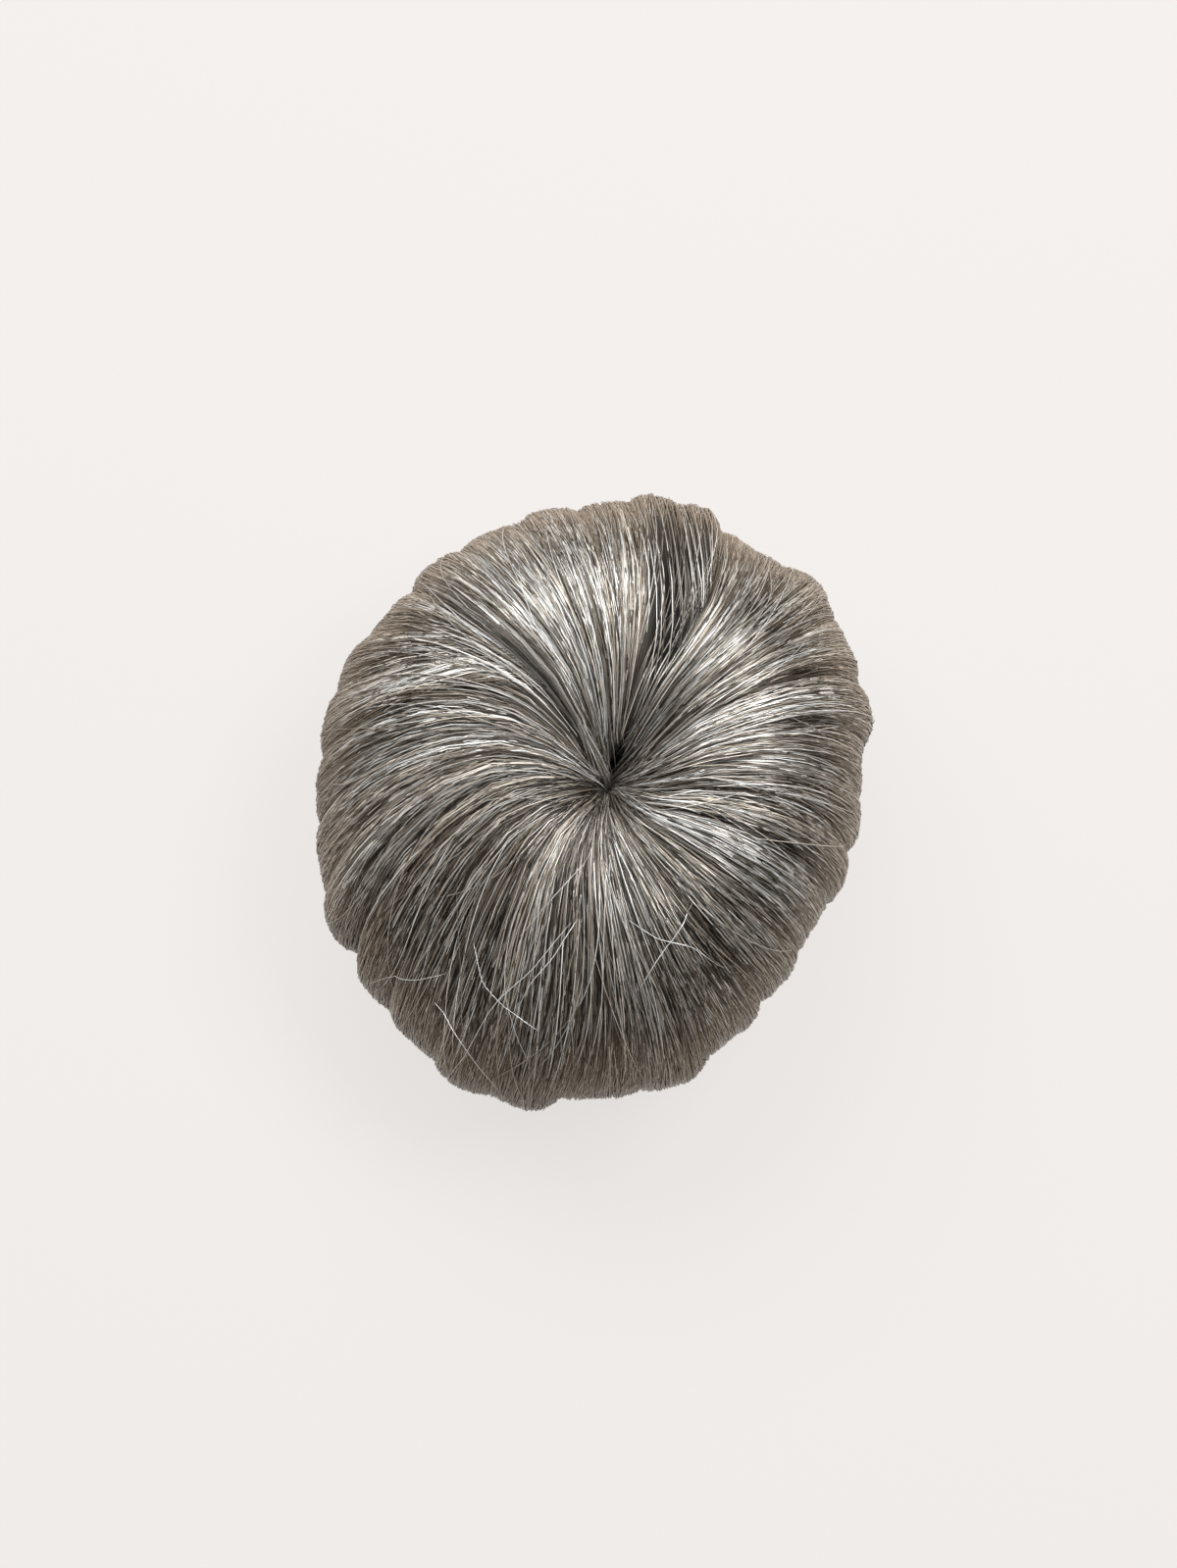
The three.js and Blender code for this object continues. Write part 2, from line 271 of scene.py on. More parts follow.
def along_for(share):
    """The way along a lane at which a hair on the surface is a share of the reach away from the axis."""
    table = np.linspace(0, WIDEST, 200)
    radius, _ = outside_at(table, MEAN_REACH)
    return np.interp(share, radius / MEAN_REACH, table)


print("widest at", round(WIDEST, 3), "of the way along")

# %% From a lane and a way along it to a point
SLOPE_STEP = 0.002  # the slope of the profile is taken this far on both sides
ON_AXIS = 1e-3  # least radius in mm by which a way aside is divided


def on_bun(lane, along, depth=0.0, sideways=0.0):
    """Points in metres at a lane and a way along it, so many mm under the surface and aside."""
    lane, along, depth, sideways = np.broadcast_arrays(lane, along, depth, sideways)
    reach = reach_of(lane)
    radius, height = outside_at(along, reach)
    r0, z0 = outside_at(along - SLOPE_STEP, reach)
    r1, z1 = outside_at(along + SLOPE_STEP, reach)
    length = np.hypot(r1 - r0, z1 - z0)
    share = way_out(along, radius, reach)
    sunk = left_open(lane, along) * valley_of(lane) * within(along, *VALLEY_RUN) + gap_of(lane, along) + depth
    radius = radius + (z1 - z0) / length * sunk
    off_slit = (azimuth_of(lane, EYE_SHARE) - SLIT_AZIMUTH) / SLIT_WIDTH
    closing = EYE_CLOSING - SLIT_LENGTH * np.exp(-off_slit**2)
    radius = radius - closing * (1 - smoothstep(radius, EYE_RADIUS, EYE_ROUND))
    crest = crest_of(lane) * within(along, *CREST_RUN)
    height = height - (r1 - r0) / length * sunk + crest - lowered(lane, along)
    angle = np.radians(azimuth_of(lane, share)) + sideways / np.maximum(radius, ON_AXIS)
    shift = 1 - smoothstep(radius, *EYE_SHIFT_FADES)
    x = radius * np.cos(angle) + EYE_SHIFT[0] * shift
    y = radius * np.sin(angle) + EYE_SHIFT[1] * shift
    return np.stack([x, y, height], -1) * MM + AXIS


def round_axis(radius, angle, height):
    """Points in metres at a radius, an angle and a height in mm about the eye's axis."""
    x, y, z = np.broadcast_arrays(radius * np.cos(angle), radius * np.sin(angle), height)
    return np.stack([x, y, z], -1) * MM + AXIS


print("crown at", np.round(on_bun(2.5, 0.36) / MM, 1), "mm")

# %% [markdown]
# ## Nodes written as sums
#
# Shader trees are easier to read as formulas than as boxes and wires. The small class below wraps a socket,
# so that an expression such as 1 - mask adds the Math nodes that it needs. The functions after it do the same
# for the other nodes that these finishes share.


# %% A socket that can be added and multiplied
class Value:
    """A socket of a node tree. Arithmetic on it adds Math nodes."""

    def __init__(self, tree, socket):
        self.tree, self.socket = tree, socket

    def math(self, operation, *values):
        made = node(self.tree, "ShaderNodeMath", dict(operation=operation), dict(enumerate(values)))
        return Value(self.tree, made.outputs[0])

    def __add__(self, other):
        return self.math("ADD", self, other)

    def __sub__(self, other):
        return self.math("SUBTRACT", self, other)

    def __rsub__(self, other):
        return self.math("SUBTRACT", other, self)

    def __mul__(self, other):
        return self.math("MULTIPLY", self, other)

    def __truediv__(self, other):
        return self.math("DIVIDE", self, other)

    __radd__, __rmul__ = __add__, __mul__

    def sine(self):
        return self.math("SINE", self)

    def into(self, kind, key, settings=None, result=0, **inputs):
        """What comes out of a new node that this goes into."""
        return out(self.tree, node(self.tree, kind, settings, {key: self, **inputs}), result)


def node(tree, kind, settings=None, inputs=None):
    """A node of a kind. Its settings are set first, then its sockets, by name or by number."""
    made = tree.nodes.new(kind)
    for key, value in (settings or {}).items():
        if key == "stops":
            ramp = made.color_ramp
            while len(ramp.elements) < len(value):
                ramp.elements.new(1)
            for element, (place, colour) in zip(ramp.elements, value):
                element.position, element.color = place, (*colour, 1)
        else:
            setattr(made, key, value)
    for key, value in (inputs or {}).items():
        socket = made.inputs[key]
        if isinstance(value, Value):
            tree.links.new(value.socket, socket)
        else:
            socket.default_value = value
    return made


def out(tree, made, key=0):
    return Value(tree, made.outputs[key])


print("sums add Math nodes")


# %% The nodes that the finishes share
def attribute(tree, name):
    return out(tree, node(tree, "ShaderNodeAttribute", dict(attribute_name=name)), "Fac")


def uv_map(tree, name):
    return out(tree, node(tree, "ShaderNodeUVMap", dict(uv_map=name)))


def object_place(tree):
    return out(tree, node(tree, "ShaderNodeTexCoord"), "Object")


def stretched(place, scale):
    return place.into("ShaderNodeMapping", "Vector", Scale=scale)


def noise(place, **inputs):
    return place.into("ShaderNodeTexNoise", "Vector", **inputs)


def ramp(factor, stops):
    return factor.into("ShaderNodeValToRGB", "Fac", dict(stops=stops))


def mixed(factor, a, b, blend="MIX"):
    settings = dict(data_type="RGBA", blend_type=blend)
    return factor.into("ShaderNodeMix", "Factor", settings, "Result", A=a, B=b)


def bumped(height, strength, distance):
    return height.into("ShaderNodeBump", "Height", Strength=strength, Distance=distance * MM)


def finish_of(name, settings):
    """A new material with a Principled shader, whose plain sockets are set. Gives the material and both."""
    material = bpy.data.materials.new(name)
    material.use_nodes = True
    tree = material.node_tree
    shader = tree.nodes["Principled BSDF"]
    for key, value in settings.items():
        shader.inputs[key].default_value = value
    return material, tree, shader


def wire(shader, **inputs):
    for key, value in inputs.items():
        value.tree.links.new(value.socket, shader.inputs[key.replace("_", " ")])


print("shared nodes are ready")

# %% [markdown]
# ## The colour of grey hair
#
# Grey hair is a mix. Each single hair has one colour, from near black over taupe to silver white, and only
# the mixture looks grey. So every hair gets a dye, a number from 0 to 1, and the shader turns it into a
# colour with a ramp. Some hairs are warmer than others, and round the shoulder all are mixed towards a warm
# beige, a painted glow where light shines through the loose edge. Each pair of dye and warmth has its own
# narrow column of the texture.

# %% Hair finish
DYES = 64
WARMTHS = (0.0, 0.25, 0.65)
COLUMNS = DYES * len(WARMTHS)
WARM_TINT = (1.0, 0.84, 0.66, 1.0)
# painted glow: the warm beige that light shining through the loose edge gives round the shoulder
RIM_GLOW_COLOUR = (0.345, 0.262, 0.182, 1.0)
HAIR_STOPS = [
    (0.0, (0.006, 0.0044, 0.0028)),
    (0.22, (0.031, 0.0245, 0.0172)),
    (0.45, (0.113, 0.098, 0.079)),
    (0.62, (0.235, 0.219, 0.195)),
    (0.8, (0.425, 0.423, 0.41)),
    (1.0, (0.78, 0.795, 0.795)),
]
HAIR_SHINE = {"Metallic": 0.45, "IOR": 1.55, "Specular IOR Level": 0.6}
HAIR_ROUGHNESS = 0.25
FLECKS = (COLUMNS * 1.7, 3.5, 1.0)  # how many across the texture and along a hair
FLECKS_IN_DYE, FLECKS_IN_ROUGHNESS = 0.1, 0.16


def hair_finish():
    material, tree, shader = finish_of("hair_strands", HAIR_SHINE)
    flecks = noise(stretched(uv_map(tree, "OFBake"), FLECKS), Scale=1.0, Detail=1.0)
    shade = attribute(tree, "dye") + FLECKS_IN_DYE * (flecks - 0.5)
    tinted = mixed(attribute(tree, "warmth"), ramp(shade, HAIR_STOPS), WARM_TINT, "MULTIPLY")
    # round the shoulder the hair is mixed towards the painted rim glow
    rim_glowed = mixed(attribute(tree, "edge"), tinted, RIM_GLOW_COLOUR)
    wire(shader, Base_Color=rim_glowed, Roughness=HAIR_ROUGHNESS + FLECKS_IN_ROUGHNESS * flecks)
    return material


HAIR = hair_finish()
print("material", HAIR.name)

# %% Core finish
CORE_SHINE = {"IOR": 1.55, "Specular IOR Level": 0.2}
# The core is far darker than the loose hair and has no silver: painted shade of the depths of the bundle.
CORE_SHADE_STOPS = [(0.35, (0.010, 0.008, 0.0065)), (0.52, (0.04, 0.034, 0.027)), (0.68, (0.11, 0.097, 0.08))]
CORE_STREAKS = (190.0, 2.2, 1.0)  # how many across one lock and along it
# Painted shade: the near black that the core takes on in the gaps beside the partings.
GAP_SHADE_COLOUR = (0.006, 0.005, 0.004, 1.0)


def core_finish():
    material, tree, shader = finish_of("hair_core", CORE_SHINE)
    place = stretched(uv_map(tree, "flow"), CORE_STREAKS)
    streak = noise(place, Scale=1.0, Detail=4.0, Roughness=0.7)
    # in the gaps the core is mixed towards painted shade
    colour = mixed(attribute(tree, "hidden"), ramp(streak, CORE_SHADE_STOPS), GAP_SHADE_COLOUR)
    bump = bumped(streak, strength=0.8, distance=0.4)
    wire(shader, Base_Color=colour, Normal=bump, Roughness=0.4 + 0.25 * streak)
    return material


CORE = core_finish()
print("material", CORE.name)

# %% [markdown]
# ## Cores
#
# Under the loose hair a bun is a dense bundle, of which only streaks show between the hairs. A smooth shell
# for each lock, a little under the surface and combed by its texture, fills that place. Its colour is far
# darker than the loose hair's, a painted shade of the bundle's depths. Inside it lies on the cap.

# %% Meshes from points and faces
CORE_DEPTH = 1.5
CORE_ROWS = 48
CORE_STEPS = 8  # across one fold
CORE_GAP = 0.25  # between a core's side and its parting
CORE_MARGIN = 1e-4  # lanes by which a side keeps to its own lock
CORE_RUN = ((0, 0.06), (0.9, 1))  # where along a lock the core goes under and comes up again
# Painted shade: in the gaps beside the partings the core goes towards near black, fully at this depth.
FULL_SHADE_GAP = 2.5  # depth of a gap that leaves its core quite dark


def placed(name, data):
    """A new object of the scene, with its origin at the frame's."""
    made = bpy.data.objects.new(name, data)
    bpy.context.scene.collection.objects.link(made)
    return made


def mesh_piece(name, points, faces, material):
    mesh = bpy.data.meshes.new(name)
    mesh.from_pydata([tuple(p) for p in points], [], faces)
    mesh.polygons.foreach_set("use_smooth", [True] * len(mesh.polygons))
    mesh.materials.append(material)
    return placed(name, mesh)


def seat_at(along):
    """Radius and height of the hair's inside, which lies on the cap, for a way along a lock."""
    on_dome = np.minimum(along / DOME_ENDS, 1)
    start = math.asin(EYE_RADIUS / SEAT_RADIUS)
    angle = start + (math.pi / 2 - start) * on_dome
    up = CAP_HEIGHT - CAP_FOOT + SEAT_GAP
    down = np.maximum(along - DOME_ENDS, 0) / (1 - DOME_ENDS)
    height = CAP_FOOT + up * np.cos(angle) + down * (ROOT_LIFT + ROOT_HEIGHT - CAP_FOOT)
    return SEAT_RADIUS * np.sin(angle), height


def wrapped(rows, ring):
    """Faces between rows of points, each of which closes to a ring."""
    faces = []
    for j in range(rows - 1):
        for k in range(ring):
            a, b = j * ring + k, j * ring + (k + 1) % ring
            faces.append((a, a + ring, b + ring, b))
    return faces


def shell_faces(ring, steps):
    """Faces round the rings of a core, and those that close its first ring and its last."""
    faces = wrapped(CORE_ROWS, ring)
    last = (CORE_ROWS - 1) * ring
    for k in range(steps):
        faces.append((k, k + 1, ring - 2 - k, ring - 1 - k))
        faces.append((last + k, last + ring - 1 - k, last + ring - 2 - k, last + k + 1))
    return faces


def core_piece(i):
    steps = len(LOCKS[i]["fullness"]) * CORE_STEPS
    across = np.linspace(0, 1, steps + 1)
    along = np.linspace(0, 1, CORE_ROWS)[:, None]
    lane = i + np.clip(across, CORE_MARGIN, 1 - CORE_MARGIN)[None, :]
    reach = reach_of(lane)
    radius, _ = outside_at(along, reach)
    squeeze = (1 - 2 * across) * CORE_GAP
    outside = on_bun(lane, along, CORE_DEPTH * within(along, *CORE_RUN), squeeze)
    seat_radius, seat_height = seat_at(along)
    turn = np.radians(azimuth_of(lane, way_out(along, radius, reach)))
    inside = round_axis(seat_radius, turn + squeeze / np.maximum(radius, EYE_RADIUS), seat_height)
    rings = np.concatenate([outside, inside[:, ::-1]], 1)
    ring = rings.shape[1]
    piece = mesh_piece("core_of_" + LOCKS[i]["name"], rings.reshape(-1, 3), shell_faces(ring, steps), CORE)
    hidden = np.zeros(rings.shape[:2])
    # painted shade in the gaps, darker where they are deeper
    hidden[:, : steps + 1] = np.clip(gap_of(lane, along) / FULL_SHADE_GAP, 0, 1)
    piece.data.attributes.new("hidden", "FLOAT", "POINT").data.foreach_set("value", hidden.ravel())
    flow = piece.data.uv_layers.new(name="flow")
    corners = np.zeros(len(piece.data.loops), int)
    piece.data.loops.foreach_get("vertex_index", corners)
    u = (corners % ring) / ring + i
    v = (corners // ring) / CORE_ROWS
    flow.data.foreach_set("uv", np.stack([u, v], -1).ravel())
    return piece


cores = [core_piece(i) for i in range(COUNT)]
print(len(cores), "cores,", sum(len(core.data.polygons) for core in cores), "faces")

# %% [markdown]
# ## A tree that turns lines into hairs
#
# The hairs are drawn as lines of points first. A small Geometry Nodes tree then gives each line its body: it
# reads the thickness at every point, sweeps a three-sided ring along the line and closes the ends. Its inputs
# are the sides, a scale of the thickness, the columns of the texture, of which each hair has one, and the
# finish.

# %% The sweeping tree
COLUMN_MARGIN = 0.2  # share of its column that a hair leaves free on each side
TREE_INPUTS = [
    ("Sides", "NodeSocketInt", 3),
    ("Thickness", "NodeSocketFloat", 1.0),
    ("Columns", "NodeSocketInt", COLUMNS),
    ("Finish", "NodeSocketMaterial", None),
]


def sweep_tree():
    tree = bpy.data.node_groups.new("sweep_hairs", "GeometryNodeTree")
    face = tree.interface
    face.new_socket("Geometry", in_out="INPUT", socket_type="NodeSocketGeometry")
    face.new_socket("Geometry", in_out="OUTPUT", socket_type="NodeSocketGeometry")
    for name, kind, value in TREE_INPUTS:
        socket = face.new_socket(name, in_out="INPUT", socket_type=kind)
        if value is not None:
            socket.default_value = value
    source = tree.nodes.new("NodeGroupInput")
    given = {socket.name: Value(tree, socket) for socket in source.outputs if socket.name}

    def step(kind, settings=None, **inputs):
        made = node(tree, kind, settings, {key.replace("_", " "): value for key, value in inputs.items()})
        return out(tree, made)

    def named(name):
        made = node(tree, "GeometryNodeInputNamedAttribute", dict(data_type="FLOAT"), {"Name": name})
        return out(tree, made, "Attribute")

    lines = step("GeometryNodeMeshToCurve", Mesh=given["Geometry"])
    by_radius = dict(mode="RADIUS")
    ring = step("GeometryNodeCurvePrimitiveCircle", by_radius, Resolution=given["Sides"], Radius=1.0)
    around = step("GeometryNodeInputIndex") / given["Sides"]
    on_points = dict(data_type="FLOAT", domain="POINT")
    kept = step("GeometryNodeStoreNamedAttribute", on_points, Geometry=ring, Name="around", Value=around)
    thick = named("thickness") * given["Thickness"]
    swept = step("GeometryNodeCurveToMesh", Curve=lines, Profile_Curve=kept, Scale=thick, Fill_Caps=True)
    in_column = COLUMN_MARGIN + (1 - 2 * COLUMN_MARGIN) * named("around")
    place = step("ShaderNodeCombineXYZ", X=(named("column") + in_column) / given["Columns"], Y=named("way"))
    on_corners = dict(data_type="FLOAT2", domain="CORNER")
    mapped = step("GeometryNodeStoreNamedAttribute", on_corners, Geometry=swept, Name="OFBake", Value=place)
    real = step("GeometryNodeRealizeInstances", Geometry=step("GeometryNodeSetShadeSmooth", Geometry=mapped))
    dressed = step("GeometryNodeSetMaterial", Geometry=real, Material=given["Finish"])
    sink = tree.nodes.new("NodeGroupOutput")
    tree.links.new(dressed.socket, sink.inputs[0])
    return tree


SWEEP = sweep_tree()
SOCKETS = {item.name: item.identifier for item in SWEEP.interface.items_tree if item.in_out == "INPUT"}
print("tree inputs:", ", ".join(SOCKETS))


# %% From lines to a plain mesh
def line_mesh(name, points, columns):
    """A mesh of loose edges. points is hairs x places x 3, and columns are values of the same shape."""
    hairs, places = points.shape[:2]
    mesh = bpy.data.meshes.new(name)
    ends = np.arange(hairs * places).reshape(hairs, places)
    edges = np.stack([ends[:, :-1], ends[:, 1:]], -1).reshape(-1, 2)
    mesh.vertices.add(hairs * places)
    mesh.vertices.foreach_set("co", points.astype(np.float32).ravel())
    mesh.edges.add(len(edges))
    mesh.edges.foreach_set("vertices", edges.astype(np.int32).ravel())
    for key, value in columns.items():
        filled = np.broadcast_to(value, (hairs, places)).astype(np.float32)
        mesh.attributes.new(key, "FLOAT", "POINT").data.foreach_set("value", filled.ravel())
    return mesh


def sweep(name, points, columns, thickness=1.0, sides=3, material=HAIR):
    """A closed mesh of hairs along these lines."""
    lines = placed(name + "_lines", line_mesh(name + "_lines", points, columns))
    modifier = lines.modifiers.new("sweep", "NODES")
    modifier.node_group = SWEEP
    for key, value in dict(Sides=sides, Thickness=thickness, Columns=COLUMNS, Finish=material).items():
        modifier[SOCKETS[key]] = value
    made = lines.evaluated_get(bpy.context.evaluated_depsgraph_get())
    plain = bpy.data.meshes.new_from_object(made)
    plain.name = name
    bpy.data.objects.remove(lines)
    return placed(name, plain)


def joined(parts):
    points = np.concatenate([points for points, _ in parts])
    full = []
    for some, columns in parts:
        full.append({key: np.broadcast_to(value, some.shape[:2]) for key, value in columns.items()})
    return points, {key: np.concatenate([columns[key] for columns in full]) for key in full[0]}


def triangles(piece):
    return sum(len(face.vertices) - 2 for face in piece.data.polygons)


print(COLUMNS, "columns of the texture")

# %% [markdown]
# ## Combing the hairs
#
# Hair doesn't lie evenly. It gathers into clumps a millimetre or two wide that share a path, part and close
# again, and within a clump each hair wanders a little by itself. Most hairs come up from below somewhere on
# their way out, because there is no room for all of them at the eye. The numbers below are these habits.

# %% Where the hairs run
SEED = 20
HAIRS_PER_MM = 32  # along the outline
CLUMP_WIDTH = 2.2
FEWEST_CLUMPS = 3
HAIR_RADIUS = 0.1
PLACES = 14  # points along one hair
# Where the points of a hair lie along it: close at the eye and round the shoulder, where it bends most.
ROUTE = np.interp(np.linspace(0, 1, PLACES), [0, 0.14, 0.55, 0.86, 1], [0, 0.1, 0.47, 0.86, 1])
LANE_SCATTER = 0.012  # lanes by which a hair may miss the nearest clump
SLANT, SLANT_ROOM = 0.06, 20.0  # lanes that a hair starts beside its own, in full from this radius out
DRIFT_EASE = 2.5  # how early a hair from under a parting turns into its lane
# Waves along a hair: how large, and between which numbers of waves.
CLUMP_WAVE = (0.26, (0.5, 1.3))  # aside in mm, all hairs of a clump together
HAIR_WAVE = (0.25, (0.6, 1.8))  # aside in mm, each hair by itself
SWAY_WAVE = (0.09, (0.7, 1.8))  # up and down in mm
PINCH_WAVE = (0.08, (0.5, 1.6))  # share by which a clump gathers and parts
GATHER, GATHER_LIMITS = 0.03, (-0.2, 0.4)
WAVE_ROOM, DEPTH_ROOM = 22.0, 12.0  # radii from which hairs have room to wave, and to lie over each other


def waves(rng, count, size, pace):
    """Sine waves, one for each of a count, as a function of rows of them and ways along."""
    speed = rng.uniform(*pace, (count, 1))
    phase = rng.uniform(0, 1, (count, 1))
    height = size * rng.normal(0, 1, (count, 1))
    return lambda rows, t: height[rows] * np.sin(2 * np.pi * (speed[rows] * t + phase[rows]))


def aside_of(rng, member, clumps, along, to_centre):
    """How far aside in mm the hairs lie: with their clump, by themselves, and towards its middle."""
    with_clump = waves(rng, clumps, *CLUMP_WAVE)(member, along)
    by_itself = waves(rng, len(member), *HAIR_WAVE)(np.arange(len(member)), along)
    pinch = waves(rng, clumps, *PINCH_WAVE)(member, along)
    return with_clump + by_itself + to_centre * np.clip(GATHER + pinch, *GATHER_LIMITS)


print(PLACES, "points a hair, clumps", CLUMP_WIDTH, "mm wide")

# %% How deep they lie
CLUMP_DEPTH, OWN_DEPTH = 0.25, 0.38  # in mm: at most for a clump, and on average for a hair
START_DEPTH, START_RUN = 2.6, (0, 0.1)  # how deep in mm a hair comes from, and over which way it rises
AT_EYE = EYE_SHARE + 0.01  # hairs that start nearer come out of the eye and don't rise
END_DEPTH, END_RUN = 0.4, (0.93, 1)  # at the roots they dip under


def depth_of(rng, member, clumps, along, radius, start, start_share):
    """How deep in mm the hairs lie under the surface."""
    hairs = len(member)
    clump_depth = rng.uniform(0, CLUMP_DEPTH, clumps)[member][:, None]
    own_depth = rng.exponential(OWN_DEPTH, (hairs, 1))
    sway = waves(rng, hairs, *SWAY_WAVE)(np.arange(hairs), along)
    emerging = np.where(start_share > AT_EYE, 1.0, 0.0)[:, None]
    below = START_DEPTH * emerging * (1 - smoothstep(along - start[:, None], *START_RUN))
    ends = END_DEPTH * smoothstep(along, *END_RUN)
    return (clump_depth + own_depth + sway) * np.minimum(radius / DEPTH_ROOM, 1.0) + below + ends


print("hairs come up from", START_DEPTH, "mm below")

# %% Which colours they have
DYE_KINDS, DYE_SHARES, DYE_SPREAD = (0.16, 0.49, 0.81), (0.31, 0.39, 0.30), 0.085  # dark, taupe and silver
CLUMP_DYE, BROAD_DYE, BROAD_STOPS = 0.05, 0.05, 5  # what clumps and broader stretches add
CLUMP_WARMTH, OWN_WARMTH = (0.8, 0.55), 0.45  # mean and spread of a clump, and spread of a hair
# Round the bun the mix changes, and these changes are painted light and shade: darker and browner in front
# on the left, a painted shade, and paler in front on the right and on the backs of some locks, a painted
# shine. A row for each lock from lock_right on, and the first again: what is added to the dye and to the
# warmth.
LIGHT_AND_SHADE_TONES = np.array([(0.03, 0.1), (-0.01, 0.1), (-0.07, 0.0), (0.11, 0.0), (0.05, 0.1),
                  (0.07, 0.2), (-0.09, 0.4), (-0.11, 0.4), (0.03, 0.1), (0.03, 0.1)])
LIGHT_AND_SHADE_STOPS = np.arange(COUNT + 1) + 0.5
# The painted glow round the shoulder, where light shines through the loose edge: how much of it, where it
# comes in, and where and by how much it fades below.
RIM_GLOW_MOST, RIM_GLOW_COMES, RIM_GLOW_GOES, RIM_GLOW_FADE = 0.62, (0.43, 0.6), (0.6, 0.74), 0.6
# Behind, hairs are mixed further towards the rim glow colour, which there darkens the back of the rim as
# painted shade.
BACK_LANE, BACK_WIDTH, BACK_RIM_SHADE = 3.0, 1.7, 0.5  # behind, hairs take on more of it


def dyed(dye, warmth, along):
    """The columns that colour the hairs, with dye and warmth snapped to the texture's columns."""
    step = np.clip(dye * DYES, 1, DYES - 2).astype(int)
    level = np.clip(np.round(warmth), 0, len(WARMTHS) - 1).astype(int)
    # edge is how much of the painted rim glow a hair takes on along its way
    edge = RIM_GLOW_MOST * smoothstep(along, *RIM_GLOW_COMES) * (1 - RIM_GLOW_FADE * smoothstep(along, *RIM_GLOW_GOES))
    return dict(column=(level * DYES + step)[:, None], dye=((step + 0.5) / DYES)[:, None],
                warmth=np.array(WARMTHS)[level][:, None], edge=edge, way=along)


def colours_of(rng, lanes, member, clumps, along):
    hairs = len(lanes)
    clump_dye = rng.normal(0, CLUMP_DYE, clumps)[member]
    stops = np.linspace(lanes.min(), lanes.max(), BROAD_STOPS)
    clump_dye = clump_dye + np.interp(lanes, stops, rng.normal(0, BROAD_DYE, BROAD_STOPS))
    kinds = rng.choice(len(DYE_KINDS), hairs, p=DYE_SHARES)
    dye = np.array(DYE_KINDS)[kinds] + rng.normal(0, DYE_SPREAD, hairs) + clump_dye
    warmth = rng.normal(*CLUMP_WARMTH, clumps)[member] + rng.normal(0, OWN_WARMTH, hairs)
    # painted light and shade round the bun, added to the dye and the warmth
    dye = dye + np.interp(lanes, LIGHT_AND_SHADE_STOPS, LIGHT_AND_SHADE_TONES[:, 0])
    warmth = warmth + np.interp(lanes, LIGHT_AND_SHADE_STOPS, LIGHT_AND_SHADE_TONES[:, 1])
    columns = dyed(dye, warmth, along)
    # behind, more of the rim glow colour: painted shade that dims the back of the rim
    columns["edge"] = columns["edge"] * (1 + BACK_RIM_SHADE * near_lane(lanes, BACK_LANE, BACK_WIDTH))[:, None]
    return columns


print(len(DYE_KINDS), "kinds of hair, with shares", DYE_SHARES)

# %% One combing
TANGLE, TANGLE_UP, TANGLE_FADES = 0.6, 0.6, (3, 13)  # in mm near the eye, the share of it upwards, and radii
TIP_THICKNESS, TIP_RUN = 0.25, (0, 0.07)  # hairs start this thin
EYE_THICKNESS, THICKENS = 0.62, (5, 24)  # and are finer near the eye, up to these radii
THICKNESS_SPREAD = (0.75, 1.2)


def comb(rng, lanes, start_share, start_lanes=None, lift=0.0, bridging=0.0):
    """Points and columns of hairs that end on these lanes and come up at a share of the way out.

    With start_lanes a hair comes up on one lane and drifts to the other, as it does from under a parting.
    bridging is the share of a gap's depth that it stays above."""
    hairs = len(lanes)
    arc = np.radians(np.ptp(azimuth_of(lanes, 1.0))) * MEAN_REACH
    clumps = max(FEWEST_CLUMPS, int(arc / CLUMP_WIDTH))
    centre = np.sort(rng.uniform(lanes.min(), lanes.max(), clumps))
    scattered = lanes[:, None] + rng.normal(0, LANE_SCATTER, (hairs, 1))
    member = np.abs(scattered - centre[None, :]).argmin(1)

    start = along_for(start_share)
    along = start[:, None] + (1 - start[:, None]) * ROUTE[None, :]
    reach = reach_of(lanes)[:, None]
    radius, _ = outside_at(along, reach)
    gone = (way_out(along, radius, reach) - start_share[:, None]) / (1 - start_share[:, None])
    drift = np.clip(gone, 0, 1)
    if start_lanes is None:
        slant = rng.normal(0, SLANT, (hairs, 1)) * (1 - drift) * np.minimum(radius / SLANT_ROOM, 1.0)
        lane = lanes[:, None] + slant
    else:
        lane = start_lanes[:, None] + (lanes - start_lanes)[:, None] * (1 - (1 - drift) ** DRIFT_EASE)

    to_centre = (centre[member] - lanes)[:, None] * (arc / max(np.ptp(lanes), 1e-3))
    aside = aside_of(rng, member, clumps, along, to_centre) * np.minimum(radius / WAVE_ROOM, 1.0)
    depth = depth_of(rng, member, clumps, along, radius, start, start_share)
    depth = depth - lift - bridging * gap_of(lane, along)
    tangle = rng.normal(0, TANGLE, (hairs, 1, 3)) * (1, 1, TANGLE_UP) * MM
    points = on_bun(lane, along, depth, aside) + tangle * (1 - smoothstep(radius, *TANGLE_FADES))[..., None]

    columns = colours_of(rng, lanes, member, clumps, along)
    taper = TIP_THICKNESS + (1 - TIP_THICKNESS) * smoothstep(ROUTE, *TIP_RUN)
    finer = EYE_THICKNESS + (1 - EYE_THICKNESS) * smoothstep(radius, *THICKENS)
    own = rng.uniform(*THICKNESS_SPREAD, (hairs, 1))
    return points, dict(thickness=HAIR_RADIUS * own * taper * finer * MM, **columns)


print("a hair is", 2 * HAIR_RADIUS, "mm thick")

# %% The hairs of each lock
PAST_BORDERS = 0.03  # lanes by which a lock's hairs reach past its borders
FROM_THE_EYE = 0.14  # share of the hairs that start in the eye
START_SHARES = (0.07, 0.78)  # how far out the others come up
